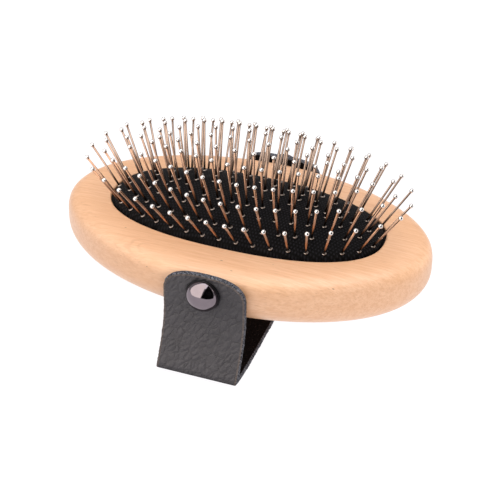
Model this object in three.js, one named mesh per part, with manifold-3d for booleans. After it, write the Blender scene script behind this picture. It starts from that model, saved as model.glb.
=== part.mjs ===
// An oval palm brush: a beech body with a pocket, a domed air cushion faced with woven fabric,
// five rings of ball-tipped pins fanned outwards, and a leather hand strap held by a capped
// screw on each long side.
//
// Millimetres. The origin is the centre of the body's flat back. +X runs along the body,
// -Y is the front long side, +Z is the side that the pins stand on.

import * as THREE from 'three';
import { mergeVertices } from 'three/addons/utils/BufferGeometryUtils.js';
import Module from 'manifold-3d';

const wasm = await Module();
wasm.setup();

// ---- driving dimensions ---------------------------------------------------------------------

const BODY_HALF_LENGTH = 65;
const BODY_HALF_WIDTH = 38;
const BODY_THICKNESS = 20;
const WIDEST_HEIGHT = 10.8;         // level at which the side bulges furthest
const BACK_ROUND = 12;              // how far the lower round comes in
const TOP_ROUND = 12;               // how far the upper round comes in
const TOP_SQUARENESS = 4;           // superellipse exponent of the upper round
const ELLIPSE = 2;

const PAD_HALF_LENGTH = 48.7;       // the opening in the rim
const PAD_HALF_WIDTH = 22.1;
const PAD_SQUARENESS = 2.36;        // superellipse exponent, a little fuller than an ellipse
const POCKET_FLOOR = 8;
const GROOVE_BOTTOM = 16.5;         // groove in the pocket wall that holds the cushion's flange
const GROOVE_TOP = 18.4;
const GROOVE_DEPTH = 2.1;

const EDGE_GAP = 0.7;               // between the cushion's fabric and the pocket wall
const FABRIC_THICKNESS = 0.5;
const RUBBER_THICKNESS = 1.4;
const LAYER_GAP = 0.1;
const DOME_BASE = 18.6;             // level of the fabric at the cushion's edge
const DOME_HEIGHT = 10.6;
const DOME_CROWN = 2.6;             // how flat the crown is
const DOME_SPREAD = 0.79;           // share of the fall that is spread over the crown
const DOME_EDGE = 60;               // how close to the edge the rest of it falls
const FLANGE_REACH = 1.8;
const FLANGE_BOTTOM = 16.8;

const RING_HALF_LENGTHS = [47, 43, 37, 33, 29];
const RING_HALF_WIDTHS = [20.2, 16.5, 12.1, 7.5, 2.5];
const RING_SQUARENESSES = [2.28, 2.04, 1.95, 1.58, 1.75];
const RING_PIN_COUNTS = [38, 36, 30, 26, 19];
const RING_PHASES = [0.6, 1.05, 0.55, 0.55, 0.57];   // in pin pitches from the front middle
const SECTORS = 4;

const PIN_REACH = 17.5;             // from the fabric to the middle of the ball
const WIRE_RADIUS = 0.45;
const BALL_RADIUS = 0.85;
const PIN_SIDES = 5;
const LEAN_REACH_X = 45;            // the leans below are the slopes at this distance
const LEAN_REACH_Y = 22;
const LEAN_X = [0.23, 0.36];        // linear and cubic parts of the lean along the body
const LEAN_Y = [0.70, 0.23];        // and across it
const BAND_WIDTH = 1;
const BAND_HEIGHT = 0.6;
const BAND_LIFT = 0.6;              // above the fabric
const BAND_OVERHANG = 0.2;          // past a run's end pins, in pin pitches
const BAND_STEPS = [2, 2, 1, 1, 1]; // from one pin to the next, by ring

const STRAP_WIDTH = 28.4;
const STRAP_THICKNESS = 2;
const STRAP_GAP = 0.3;              // between the leather and the wood beside the screw
const TAB_TOP_FRONT = 21;
const TAB_TOP_REAR = 20.2;
const TAB_ARCH = 8.5;               // height of a tab's arched end
const TAB_SQUARENESS_FRONT = 2.5;   // superellipse exponents of the two ends
const TAB_SQUARENESS_REAR = 3.6;
const SCREW_HEIGHT = 14;
const TAB_FOOT = 6.8;               // level where a tab starts to bend away from the wood
const CREASE = [-46.6, -13.6];      // [y, z] of the sharp fold, on the middle of the leather
const UNDER_LEVEL = -15;            // level run below the body, on the middle of the leather
const UNDER_FRONT = -30;
const UNDER_REAR = 14;

const SHANK_RADIUS = 1.4;
const SHANK_LENGTH = 15;            // inside the wood
const HEAD_RADIUS = 3.4;
const HEAD_THICKNESS = 1;
const WASHER_RADIUS = 5.8;
const WASHER_THICKNESS = 0.8;
const CAP_RADIUS = 5.5;
const CAP_HEIGHT = 4;
const CAP_WALL = 0.6;
const SCREW_CLEARANCE = 0.4;
const FASTENER_GAP = 0.15;

const AROUND = 48;                  // steps round an oval
const ROUND_STEPS = 5;              // steps over a rounded edge
const DOME_LEVELS = [0, 0.4, 0.65, 0.84, 0.94, 0.975, 0.992, 1];
const STRAP_STEPS = 9;              // along each bend of the strap
const ARCH_STEPS = 16;              // round a tab's end
const LATHE_STEPS = 20;

const STRAP_SIDE = BODY_HALF_WIDTH + STRAP_GAP + STRAP_THICKNESS / 2;
const STRAP_FACE = BODY_HALF_WIDTH + STRAP_GAP + STRAP_THICKNESS;

// ---- materials ------------------------------------------------------------------------------

const beech = new THREE.MeshStandardMaterial({ color: 0xe9bd90, roughness: 0.5, metalness: 0 });
const rubber = new THREE.MeshStandardMaterial({ color: 0x18181a, roughness: 0.7, metalness: 0 });
const fabric = new THREE.MeshStandardMaterial({ color: 0x1d1d21, roughness: 0.9, metalness: 0 });
const steel = new THREE.MeshStandardMaterial({ color: 0xc9c6c4, roughness: 0.2, metalness: 1 });
const leather = new THREE.MeshStandardMaterial({ color: 0x4b494c, roughness: 0.6, metalness: 0 });
const gunmetal = new THREE.MeshStandardMaterial({ color: 0x54525a, roughness: 0.15, metalness: 1 });

// ---- geometry helpers -----------------------------------------------------------------------

/** Point of a superellipse at a parameter angle. */
function ovalPoint(halfLength, halfWidth, exponent, angle) {
  const c = Math.cos(angle);
  const s = Math.sin(angle);
  const x = halfLength * Math.sign(c) * Math.abs(c) ** (2 / exponent);
  const y = halfWidth * Math.sign(s) * Math.abs(s) ** (2 / exponent);
  return [x, y];
}

/** One level loop of an oval. */
function ovalLoop(halfLength, halfWidth, exponent, z) {
  const loop = [];
  for (let i = 0; i < AROUND; i += 1) {
    const [x, y] = ovalPoint(halfLength, halfWidth, exponent, (2 * Math.PI * i) / AROUND);
    loop.push([x, y, z]);
  }
  return loop;
}

/** Closed surface through level loops, from a point on the axis to another point on the axis. */
function loopSolid(startZ, loops, endZ) {
  const positions = [0, 0, startZ];
  for (const loop of loops) {
    for (const point of loop) positions.push(...point);
  }
  positions.push(0, 0, endZ);
  const last = positions.length / 3 - 1;
  const at = (ring, i) => 1 + ring * AROUND + (i % AROUND);
  const index = [];
  for (let i = 0; i < AROUND; i += 1) {
    index.push(0, at(0, i + 1), at(0, i));
    for (let ring = 0; ring + 1 < loops.length; ring += 1) {
      index.push(at(ring, i), at(ring, i + 1), at(ring + 1, i + 1));
      index.push(at(ring, i), at(ring + 1, i + 1), at(ring + 1, i));
    }
    index.push(at(loops.length - 1, i), at(loops.length - 1, i + 1), last);
  }
  const geometry = new THREE.BufferGeometry();
  geometry.setAttribute('position', new THREE.Float32BufferAttribute(positions, 3));
  geometry.setIndex(index);
  return geometry;
}

/** Solid for joining and cutting, from a closed geometry. */
function toSolid(geometry) {
  const bare = geometry.clone();
  bare.deleteAttribute('normal');
  bare.deleteAttribute('uv');
  const merged = mergeVertices(bare, 1e-5);
  return new wasm.Manifold(new wasm.Mesh({
    numProp: 3,
    vertProperties: new Float32Array(merged.attributes.position.array),
    triVerts: new Uint32Array(merged.index.array),
  }));
}

/** Geometry from a joined or cut solid. */
function toGeometry(solid) {
  const mesh = solid.getMesh();
  const geometry = new THREE.BufferGeometry();
  geometry.setAttribute('position', new THREE.BufferAttribute(mesh.vertProperties, 3));
  geometry.setIndex(new THREE.BufferAttribute(mesh.triVerts, 1));
  geometry.computeVertexNormals();
  return geometry;
}

/** Cylinder along Y between two values of y. */
function crossCylinder(radius, yLow, yHigh, z) {
  const geometry = new THREE.CylinderGeometry(radius, radius, yHigh - yLow, LATHE_STEPS);
  geometry.translate(0, (yLow + yHigh) / 2, z);
  return toSolid(geometry);
}

const assembly = new THREE.Group();
assembly.name = 'palm_brush';

function addPart(name, geometry, material) {
  const mesh = new THREE.Mesh(geometry, material);
  mesh.name = name;
  assembly.add(mesh);
  return mesh;
}

// ---- wood body ------------------------------------------------------------------------------

function bodyLoop(inset, z) {
  return ovalLoop(BODY_HALF_LENGTH - inset, BODY_HALF_WIDTH - inset, ELLIPSE, z);
}

function padLoop(offset, z) {
  return ovalLoop(PAD_HALF_LENGTH + offset, PAD_HALF_WIDTH + offset, PAD_SQUARENESS, z);
}

function woodBody() {
  const loops = [];
  for (let i = 0; i <= ROUND_STEPS; i += 1) {
    const angle = (Math.PI / 2) * (i / ROUND_STEPS);
    loops.push(bodyLoop(BACK_ROUND * (1 - Math.sin(angle)), WIDEST_HEIGHT * (1 - Math.cos(angle))));
  }
  const upper = BODY_THICKNESS - WIDEST_HEIGHT;
  for (let i = 1; i <= ROUND_STEPS; i += 1) {
    const angle = (Math.PI / 2) * (i / ROUND_STEPS);
    const inset = TOP_ROUND * (1 - Math.abs(Math.cos(angle)) ** (2 / TOP_SQUARENESS));
    loops.push(bodyLoop(inset, WIDEST_HEIGHT + upper * Math.sin(angle) ** (2 / TOP_SQUARENESS)));
  }
  loops.push(padLoop(0, BODY_THICKNESS));
  loops.push(padLoop(0, GROOVE_TOP));
  loops.push(padLoop(GROOVE_DEPTH, GROOVE_TOP));
  loops.push(padLoop(GROOVE_DEPTH, GROOVE_BOTTOM));
  loops.push(padLoop(0, GROOVE_BOTTOM));
  loops.push(padLoop(0, POCKET_FLOOR));
  const bored = BODY_HALF_WIDTH - SHANK_LENGTH - SCREW_CLEARANCE;
  const hole = SHANK_RADIUS + SCREW_CLEARANCE;
  const past = BODY_HALF_WIDTH + 1;
  const front = crossCylinder(hole, -past, -bored, SCREW_HEIGHT);
  const rear = crossCylinder(hole, bored, past, SCREW_HEIGHT);
  return toGeometry(toSolid(loopSolid(0, loops, POCKET_FLOOR)).subtract(front).subtract(rear));
}

// ---- cushion --------------------------------------------------------------------------------

/** Rise of the dome above its edge, as a share of its height, at a share of the way out. */
function domeRise(share) {
  const dive = 1 - Math.sqrt(1 - share ** DOME_EDGE);
  return 1 - DOME_SPREAD * share ** DOME_CROWN - (1 - DOME_SPREAD) * dive;
}

function domeLoops(halfLength, halfWidth, base, height, levels) {
  return levels.map((share) => ovalLoop(
    halfLength * share, halfWidth * share, PAD_SQUARENESS, base + height * domeRise(share),
  ));
}

const FABRIC_HALF_LENGTH = PAD_HALF_LENGTH - EDGE_GAP;
const FABRIC_HALF_WIDTH = PAD_HALF_WIDTH - EDGE_GAP;
const OUTWARD_LEVELS = DOME_LEVELS.slice(1);
const INWARD_LEVELS = [...OUTWARD_LEVELS].reverse();
const HEM_DROP = 0.4;

/** Shell whose outer dome comes first, then anything round the edge, then the inner dome. */
function domeShell(outer, edgeLoops, inner) {
  const loops = [
    ...domeLoops(outer.halfLength, outer.halfWidth, outer.base, outer.height, OUTWARD_LEVELS),
    ...edgeLoops,
    ...domeLoops(inner.halfLength, inner.halfWidth, inner.base, inner.height, INWARD_LEVELS),
  ];
  return loopSolid(outer.base + outer.height, loops, inner.base + inner.height);
}

function cushionFabric() {
  const outer = {
    halfLength: FABRIC_HALF_LENGTH,
    halfWidth: FABRIC_HALF_WIDTH,
    base: DOME_BASE,
    height: DOME_HEIGHT,
  };
  const innerBase = DOME_BASE - HEM_DROP;
  const inner = {
    halfLength: FABRIC_HALF_LENGTH - FABRIC_THICKNESS,
    halfWidth: FABRIC_HALF_WIDTH - FABRIC_THICKNESS,
    base: innerBase,
    height: DOME_BASE + DOME_HEIGHT - FABRIC_THICKNESS - innerBase,
  };
  const hem = ovalLoop(FABRIC_HALF_LENGTH, FABRIC_HALF_WIDTH, PAD_SQUARENESS, innerBase);
  return flip(domeShell(outer, [hem], inner));
}

function rubberCushion() {
  const top = DOME_BASE + DOME_HEIGHT - FABRIC_THICKNESS - LAYER_GAP;
  const base = DOME_BASE - HEM_DROP - LAYER_GAP;
  const inset = FABRIC_THICKNESS + LAYER_GAP;
  const outer = {
    halfLength: FABRIC_HALF_LENGTH - inset,
    halfWidth: FABRIC_HALF_WIDTH - inset,
    base,
    height: top - base,
  };
  const inner = {
    halfLength: outer.halfLength - RUBBER_THICKNESS,
    halfWidth: outer.halfWidth - RUBBER_THICKNESS,
    base: FLANGE_BOTTOM,
    height: top - RUBBER_THICKNESS - FLANGE_BOTTOM,
  };
  const flange = [padLoop(FLANGE_REACH, base), padLoop(FLANGE_REACH, FLANGE_BOTTOM)];
  return flip(domeShell(outer, flange, inner));
}

/** Turns a closed surface's faces round. */
function flip(geometry) {
  const index = geometry.index.array;
  for (let i = 0; i < index.length; i += 3) {
    [index[i + 1], index[i + 2]] = [index[i + 2], index[i + 1]];
  }
  return geometry;
}

// ---- pins -----------------------------------------------------------------------------------

/** Level of the fabric at a point of the pad. */
function fabricHeight(x, y) {
  const share = (
    Math.abs(x / FABRIC_HALF_LENGTH) ** PAD_SQUARENESS
    + Math.abs(y / FABRIC_HALF_WIDTH) ** PAD_SQUARENESS
  ) ** (1 / PAD_SQUARENESS);
  return DOME_BASE + DOME_HEIGHT * domeRise(Math.min(share, 1));
}

/** Places on a ring at stations counted in pin pitches along the oval from its front middle. */
function ringPoints(ring, stations) {
  const fine = 2400;
  const halfLength = RING_HALF_LENGTHS[ring];
  const halfWidth = RING_HALF_WIDTHS[ring];
  const trace = [];
  for (let i = 0; i <= 2 * fine; i += 1) {
    const angle = -Math.PI / 2 + (2 * Math.PI * i) / fine;
    trace.push(ovalPoint(halfLength, halfWidth, RING_SQUARENESSES[ring], angle));
  }
  const travelled = [0];
  for (let i = 1; i < trace.length; i += 1) {
    const step = Math.hypot(trace[i][0] - trace[i - 1][0], trace[i][1] - trace[i - 1][1]);
    travelled.push(travelled[i - 1] + step);
  }
  const pitch = travelled[fine] / RING_PIN_COUNTS[ring];
  return stations.map((station) => {
    const target = (station + RING_PHASES[ring]) * pitch;
    return trace[travelled.findIndex((distance) => distance >= target)];
  });
}

function leanAt(distance, reach, [linear, cubic]) {
  const share = distance / reach;
  return linear * share + cubic * share ** 3;
}

/** Middle of the ball of the pin at x, y. */
function pinTip(x, y) {
  const lean = new THREE.Vector3(
    leanAt(x, LEAN_REACH_X, LEAN_X),
    leanAt(y, LEAN_REACH_Y, LEAN_Y),
    1,
  );
  return lean.setLength(PIN_REACH).add(new THREE.Vector3(x, y, fabricHeight(x, y)));
}

/** Wire with a ball on its end, standing in a ring's band. */
function pinSolid(x, y) {
  const foot = new THREE.Vector3(x, y, fabricHeight(x, y) + BAND_LIFT + BAND_HEIGHT / 2);
  const direction = pinTip(x, y).sub(foot);
  const reach = direction.length();
  const neck = reach - Math.sqrt(BALL_RADIUS ** 2 - WIRE_RADIUS ** 2);
  const profile = [
    [0, 0],
    [WIRE_RADIUS, 0],
    [WIRE_RADIUS, neck],
    [BALL_RADIUS, reach],
    [0, reach + BALL_RADIUS],
  ].map(([r, h]) => new THREE.Vector2(r, h));
  const geometry = new THREE.LatheGeometry(profile, PIN_SIDES);
  const upright = new THREE.Vector3(0, 1, 0);
  geometry.applyQuaternion(new THREE.Quaternion().setFromUnitVectors(upright, direction.normalize()));
  geometry.translate(foot.x, foot.y, foot.z);
  return toSolid(geometry);
}

/** Thin band lying over the fabric through a run of places. */
function bandSolid(path) {
  const positions = [];
  path.forEach(([x, y], i) => {
    const [xBefore, yBefore] = path[Math.max(i - 1, 0)];
    const [xAfter, yAfter] = path[Math.min(i + 1, path.length - 1)];
    const side = new THREE.Vector2(yBefore - yAfter, xAfter - xBefore).setLength(BAND_WIDTH / 2);
    const rightBottom = fabricHeight(x - side.x, y - side.y) + BAND_LIFT;
    const leftBottom = fabricHeight(x + side.x, y + side.y) + BAND_LIFT;
    positions.push(x - side.x, y - side.y, rightBottom);
    positions.push(x + side.x, y + side.y, leftBottom);
    positions.push(x + side.x, y + side.y, leftBottom + BAND_HEIGHT);
    positions.push(x - side.x, y - side.y, rightBottom + BAND_HEIGHT);
  });
  const corners = 4;
  const index = [0, 2, 1, 0, 3, 2];
  for (let i = 0; i + 1 < path.length; i += 1) {
    for (let corner = 0; corner < corners; corner += 1) {
      const here = corners * i + corner;
      const beside = corners * i + ((corner + 1) % corners);
      index.push(here, beside + corners, here + corners);
      index.push(here, beside, beside + corners);
    }
  }
  const close = corners * (path.length - 1);
  index.push(close, close + 1, close + 2, close, close + 2, close + 3);
  const geometry = new THREE.BufferGeometry();
  geometry.setAttribute('position', new THREE.Float32BufferAttribute(positions, 3));
  geometry.setIndex(index);
  return toSolid(geometry);
}

/** The pins of one run of a ring, joined by their band. */
function pinSector(ring, from, to) {
  const pins = [];
  for (let pin = from; pin <= to; pin += 1) pins.push(pin);
  const stations = [from - BAND_OVERHANG];
  for (let step = from * BAND_STEPS[ring]; step <= to * BAND_STEPS[ring]; step += 1) {
    stations.push(step / BAND_STEPS[ring]);
  }
  stations.push(to + BAND_OVERHANG);
  const band = bandSolid(ringPoints(ring, stations));
  const solids = ringPoints(ring, pins).map(([x, y]) => pinSolid(x, y));
  return toGeometry(solids.reduce((joined, pin) => joined.add(pin), band));
}

function addPinRings() {
  RING_PIN_COUNTS.forEach((count, ring) => {
    for (let sector = 0; sector < SECTORS; sector += 1) {
      const from = Math.round((count * sector) / SECTORS);
      const to = Math.round((count * (sector + 1)) / SECTORS) - 1;
      const name = `pins_ring_${ring + 1}_quarter_${sector + 1}`;
      addPart(name, pinSector(ring, from, to), steel);
    }
  });
}

// ---- hand strap -----------------------------------------------------------------------------

/** Middle line of the leather, from the front tab's end to the rear tab's end. */
function strapLine() {
  const point = (y, z) => new THREE.Vector2(y, z);
  const line = new THREE.CurvePath();
  line.add(new THREE.LineCurve(point(-STRAP_SIDE, TAB_TOP_FRONT), point(-STRAP_SIDE, TAB_FOOT)));
  line.add(new THREE.CubicBezierCurve(
    point(-STRAP_SIDE, TAB_FOOT),
    point(-STRAP_SIDE, TAB_FOOT - 8),
    point(-STRAP_SIDE - 4, UNDER_LEVEL / 2),
    point(...CREASE),
  ));
  line.add(new THREE.CubicBezierCurve(
    point(...CREASE),
    point(CREASE[0] + 6, UNDER_LEVEL),
    point(UNDER_FRONT - 6, UNDER_LEVEL),
    point(UNDER_FRONT, UNDER_LEVEL),
  ));
  line.add(new THREE.LineCurve(point(UNDER_FRONT, UNDER_LEVEL), point(UNDER_REAR, UNDER_LEVEL)));
  line.add(new THREE.CubicBezierCurve(
    point(UNDER_REAR, UNDER_LEVEL),
    point(UNDER_REAR + 18, UNDER_LEVEL),
    point(STRAP_SIDE, TAB_FOOT - 18),
    point(STRAP_SIDE, TAB_FOOT),
  ));
  line.add(new THREE.LineCurve(point(STRAP_SIDE, TAB_FOOT), point(STRAP_SIDE, TAB_TOP_REAR)));
  return line.getPoints(STRAP_STEPS);
}

/** Side outline of the strap: the middle line moved half a thickness each way. */
function strapOutline() {
  const line = strapLine();
  const left = [];
  const right = [];
  line.forEach((point, i) => {
    const before = line[Math.max(i - 1, 0)];
    const after = line[Math.min(i + 1, line.length - 1)];
    const into = new THREE.Vector2(point.x - before.x, point.y - before.y);
    const out = new THREE.Vector2(after.x - point.x, after.y - point.y);
    if (i === 0) into.copy(out);
    if (i === line.length - 1) out.copy(into);
    into.normalize();
    out.normalize();
    const mitre = into.clone().add(out).normalize();
    const side = new THREE.Vector2(-mitre.y, mitre.x);
    const reach = Math.min(STRAP_THICKNESS / 2 / side.dot(new THREE.Vector2(-into.y, into.x)), 1.9);
    left.push(new THREE.Vector2(point.x + side.x * reach, point.y + side.y * reach));
    right.push(new THREE.Vector2(point.x - side.x * reach, point.y - side.y * reach));
  });
  return [...left, ...right.reverse()];
}

/** Block that trims a tab's end to an arch, beyond the given height. */
function tabTrim(top, squareness, yLow, yHigh) {
  const half = STRAP_WIDTH / 2;
  const past = half + 2;
  const shape = new THREE.Shape();
  shape.moveTo(-past, top - TAB_ARCH);
  for (let i = 0; i <= ARCH_STEPS; i += 1) {
    const angle = Math.PI * (1 - i / ARCH_STEPS);
    const [x, rise] = ovalPoint(half, TAB_ARCH, squareness, angle);
    shape.lineTo(x, top - TAB_ARCH + rise);
  }
  shape.lineTo(past, top - TAB_ARCH);
  shape.lineTo(past, top + TAB_ARCH);
  shape.lineTo(-past, top + TAB_ARCH);
  const geometry = new THREE.ExtrudeGeometry(shape, { depth: yHigh - yLow, bevelEnabled: false });
  geometry.rotateX(Math.PI / 2);
  geometry.translate(0, yHigh, 0);
  return toSolid(geometry);
}

function handStrap() {
  const shape = new THREE.Shape(strapOutline());
  const geometry = new THREE.ExtrudeGeometry(shape, { depth: STRAP_WIDTH, bevelEnabled: false });
  const sideOn = new THREE.Matrix4().makeBasis(
    new THREE.Vector3(0, 1, 0),
    new THREE.Vector3(0, 0, 1),
    new THREE.Vector3(1, 0, 0),
  );
  geometry.applyMatrix4(sideOn);
  geometry.translate(-STRAP_WIDTH / 2, 0, 0);
  const inner = BODY_HALF_WIDTH - 2;
  const outer = STRAP_FACE + 4;
  const hole = SHANK_RADIUS + SCREW_CLEARANCE;
  return toGeometry(
    toSolid(geometry)
      .subtract(tabTrim(TAB_TOP_FRONT, TAB_SQUARENESS_FRONT, -outer, -inner))
      .subtract(tabTrim(TAB_TOP_REAR, TAB_SQUARENESS_REAR, inner, outer))
      .subtract(crossCylinder(hole, -outer, -inner, SCREW_HEIGHT))
      .subtract(crossCylinder(hole, inner, outer, SCREW_HEIGHT)),
  );
}

// ---- fasteners ------------------------------------------------------------------------------

/** Lathe about Y from a closed or axis-to-axis outline of [radius, distance out from the centre]. */
function fastenerGeometry(outline) {
  const points = outline.map(([radius, out]) => new THREE.Vector2(radius, out));
  return toGeometry(toSolid(new THREE.LatheGeometry(points, LATHE_STEPS)));
}

function screwGeometry() {
  const under = STRAP_FACE + 2 * FASTENER_GAP + WASHER_THICKNESS;
  const tip = BODY_HALF_WIDTH - SHANK_LENGTH;
  return fastenerGeometry([
    [0, tip],
    [SHANK_RADIUS, tip + 2 * SHANK_RADIUS],
    [SHANK_RADIUS, under],
    [HEAD_RADIUS, under],
    [HEAD_RADIUS, under + 0.6 * HEAD_THICKNESS],
    [0.7 * HEAD_RADIUS, under + HEAD_THICKNESS],
    [0, under + HEAD_THICKNESS],
  ]);
}

function washerGeometry() {
  const inside = STRAP_FACE + FASTENER_GAP;
  const outside = inside + WASHER_THICKNESS;
  const hole = SHANK_RADIUS + SCREW_CLEARANCE;
  return fastenerGeometry([
    [hole, inside],
    [WASHER_RADIUS, inside],
    [WASHER_RADIUS, inside + 0.5 * WASHER_THICKNESS],
    [WASHER_RADIUS - 0.4, outside],
    [hole, outside],
    [hole, inside],
  ]);
}

function capGeometry() {
  const seat = STRAP_FACE + 2 * FASTENER_GAP + WASHER_THICKNESS;
  const steps = 5;
  const outline = [];
  for (let i = 0; i <= steps; i += 1) {
    const [radius, rise] = ovalPoint(CAP_RADIUS, CAP_HEIGHT, ELLIPSE, (Math.PI / 2) * (i / steps));
    outline.push([radius, seat + rise]);
  }
  for (let i = steps; i >= 0; i -= 1) {
    const angle = (Math.PI / 2) * (i / steps);
    const [radius, rise] = ovalPoint(CAP_RADIUS - CAP_WALL, CAP_HEIGHT - CAP_WALL, ELLIPSE, angle);
    outline.push([radius, seat + rise]);
  }
  outline[steps][0] = 0;
  outline[steps + 1][0] = 0;
  const shell = [...outline.slice(steps + 1), ...outline.slice(0, steps + 1)];
  return fastenerGeometry(shell);
}

function addFasteners() {
  const kinds = [['screw', screwGeometry()], ['washer', washerGeometry()], ['cap', capGeometry()]];
  for (const [side, turn] of [['front', Math.PI], ['rear', 0]]) {
    for (const [kind, geometry] of kinds) {
      const mesh = addPart(`${side}_strap_${kind}`, geometry, gunmetal);
      mesh.rotation.z = turn;
      mesh.position.z = SCREW_HEIGHT;
    }
  }
}

// ---- assembly -------------------------------------------------------------------------------

addPart('wood_body', woodBody(), beech);
addPart('rubber_cushion', rubberCushion(), rubber);
addPart('cushion_fabric', cushionFabric(), fabric);
addPinRings();
addPart('hand_strap', handStrap(), leather);
addFasteners();

export default assembly;
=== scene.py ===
"""Looks of the oval palm brush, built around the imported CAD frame.

Shapes are worked out in millimetres in the CAD frame, and scaled to metres when a mesh is made.
"""

import math

import bmesh
import bpy
import numpy as np
from mathutils import Matrix, Vector


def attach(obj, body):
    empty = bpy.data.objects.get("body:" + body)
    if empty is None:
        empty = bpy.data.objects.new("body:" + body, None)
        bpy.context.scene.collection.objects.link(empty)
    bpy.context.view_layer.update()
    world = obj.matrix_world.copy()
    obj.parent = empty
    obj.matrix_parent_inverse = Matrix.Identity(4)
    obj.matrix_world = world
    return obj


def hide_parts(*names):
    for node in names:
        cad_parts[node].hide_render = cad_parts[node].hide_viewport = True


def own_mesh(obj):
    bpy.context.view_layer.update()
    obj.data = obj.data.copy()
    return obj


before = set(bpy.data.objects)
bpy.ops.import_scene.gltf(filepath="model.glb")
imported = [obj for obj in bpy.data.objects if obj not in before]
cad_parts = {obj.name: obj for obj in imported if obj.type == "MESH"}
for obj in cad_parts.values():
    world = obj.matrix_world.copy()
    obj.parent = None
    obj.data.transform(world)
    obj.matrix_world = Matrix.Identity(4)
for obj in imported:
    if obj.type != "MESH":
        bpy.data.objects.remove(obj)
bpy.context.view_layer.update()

MM = 0.001

# ---- sizes of the CAD model, in millimetres ----

BODY = (65.0, 38.0)                 # half length and half width
BODY_SQUARENESS = 1.97
BODY_THICKNESS = 20.0
WIDEST_HEIGHT = 10.8
BACK_ROUND = 12.0
TOP_ROUND = 12.0
TOP_SQUARENESS = 4.0
PAD = (48.7, 22.1)
PAD_SQUARENESS = 2.36
POCKET_FLOOR = 8.0
GROOVE_BOTTOM = 16.5
GROOVE_TOP = 18.4
GROOVE_DEPTH = 2.1

FABRIC = (48.0, 21.4)
FABRIC_THICKNESS = 0.5
RUBBER_THICKNESS = 1.4
LAYER_GAP = 0.1
HEM_DROP = 0.4
DOME_BASE = 18.6
DOME_HEIGHT = 10.6
DOME_CROWN = 2.6                    # how flat the crown is
DOME_SPREAD = 0.79                  # share of the fall that is spread over the crown
DOME_EDGE = 60                      # how close to the edge the rest of it falls
FLANGE_REACH = 1.8
FLANGE_BOTTOM = 16.8

RING_HALF_LENGTHS = (47, 43, 37, 33, 29)
RING_HALF_WIDTHS = (20.2, 16.5, 12.1, 7.5, 2.5)
RING_SQUARENESSES = (2.28, 2.04, 1.95, 1.58, 1.75)
RING_PIN_COUNTS = (38, 36, 30, 26, 19)
RING_PHASES = (0.6, 1.05, 0.55, 0.55, 0.57)
SECTORS = 4
PIN_REACH = 17.5
LEAN_X = (45, 0.23, 0.36)           # reach, linear part, cubic part
LEAN_Y = (22, 0.70, 0.23)

STRAP_WIDTH = 28.4
STRAP_THICKNESS = 2.0
STRAP_SIDE = 39.3                   # middle of the leather beside the wood
STRAP_FACE = 40.3
TAB_TOP_FRONT = 21.0
TAB_TOP_REAR = 20.2
TAB_FOOT = 6.8
TAB_ARCH = 8.5                      # height of a tab's arched end
TAB_SQUARENESS_FRONT = 2.5          # superellipse exponents of the two ends
TAB_SQUARENESS_REAR = 3.6
CREASE = (-46.6, -13.6)
UNDER_LEVEL = -15.0
UNDER_FRONT = -30.0
UNDER_REAR = 14.0
SCREW_HEIGHT = 14.0
FLOOR_LEVEL = -16.05

SHANK_RADIUS = 1.4
SCREW_TIP = 23.0
HOLE_DEPTH = 15.4                   # of a screw's hole in the wood
HEAD_RADIUS = 3.4
HEAD_HEIGHT = 1.0
WASHER_RADIUS = 5.8
WASHER_THICKNESS = 0.8
CAP_RADIUS = 5.5
CAP_HEIGHT = 4.0
CAP_WALL = 0.6
FASTENER_GAP = 0.15

# ---- finer sizes that only the looks have ----

AROUND = 288                        # steps round an oval
ROUND_STEPS = 18
BACK_LOOPS = (0.1, 0.3, 0.5, 0.7, 0.85, 0.95)
RIM_LOOPS = (0.06, 0.2, 0.4, 0.6, 0.8, 0.94)
FLOOR_LOOPS = (0.95, 0.6, 0.3)
OPENING_ROUND = 0.6                 # radius on the opening's edge
OPENING_STEPS = 6
FABRIC_LOOPS = 72
RUBBER_LOOPS = 40
WIRE_RADIUS = 0.37
BALL_RADIUS = 0.79
PIN_SIDES = 14
BALL_LOOPS = 11
COLLAR_RADIUS = 0.70                # crescent at a pin's foot: radius of its line
COLLAR_WIRE = 0.25                  # and of its wire at the middle
COLLAR_FACING = math.radians(-40)   # direction of its middle
COLLAR_HALF_TURN = math.radians(105)
COLLAR_LIFT = 0.18
COLLAR_TAPER = 0.9                  # 1 would bring its ends to a point
COLLAR_UPRIGHT = 1.5                # weight of straight up against the fabric's normal in its tilt
COLLAR_LOOPS = 15
COLLAR_SIDES = 8
PIN_BURIED = 1.2                    # how far a pin reaches below the fabric
SHANK_CLEARANCE = 0.4
HOLE_SIDES = 32
CUTTER_PAST = 1                     # how far a hole's cutter passes the surface
THREAD_DEPTH = 0.3
THREAD_PITCH = 1.1
THREAD_TURNS = 8
POINT_LENGTH = 3
HEAD_ROUND = 0.35
WASHER_ROUND = 0.3
FASTENER_SIDES = 96
SCREW_SIDES = 32
ARCH_STEPS = 26
FACE_COLUMNS = 40
FACE_INSET = 1.2                    # where the flat faces of the leather end, from its cut edge
FRONT_DROP = 8                      # reaches of the strap's bends
FRONT_SWING = 4
FOLD_RUN = 6
REAR_RUN = 18
MITRE_LIMIT = 0.55
EDGE_FRAY = 0.07
FRAY_REACH = 0.22                   # how far in from the cut edge it fades out
FRAY_SEED = 7
WELD_DISTANCE = 0.002
GRAIN, LINE, EDGE, SUEDE = range(4)  # kinds of face on the leather
WIRE, BALL, RING = range(3)         # and on the pins

# ---- colour and light ----

ARC_SHIFT = (9.7, 30.0, -11.0)      # brings the centre of the wood's faint arcs to the origin
ARC_FADE = (-28.0, -23.0)           # along X
WOOD_REFLECTION_FADE = (-17.0, 8.0)          # along Y, over which the painted reflection of the beech on the pins fades out
TENT_LIGHT = 0.5
TABLE_LIGHT = 0.98
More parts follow.
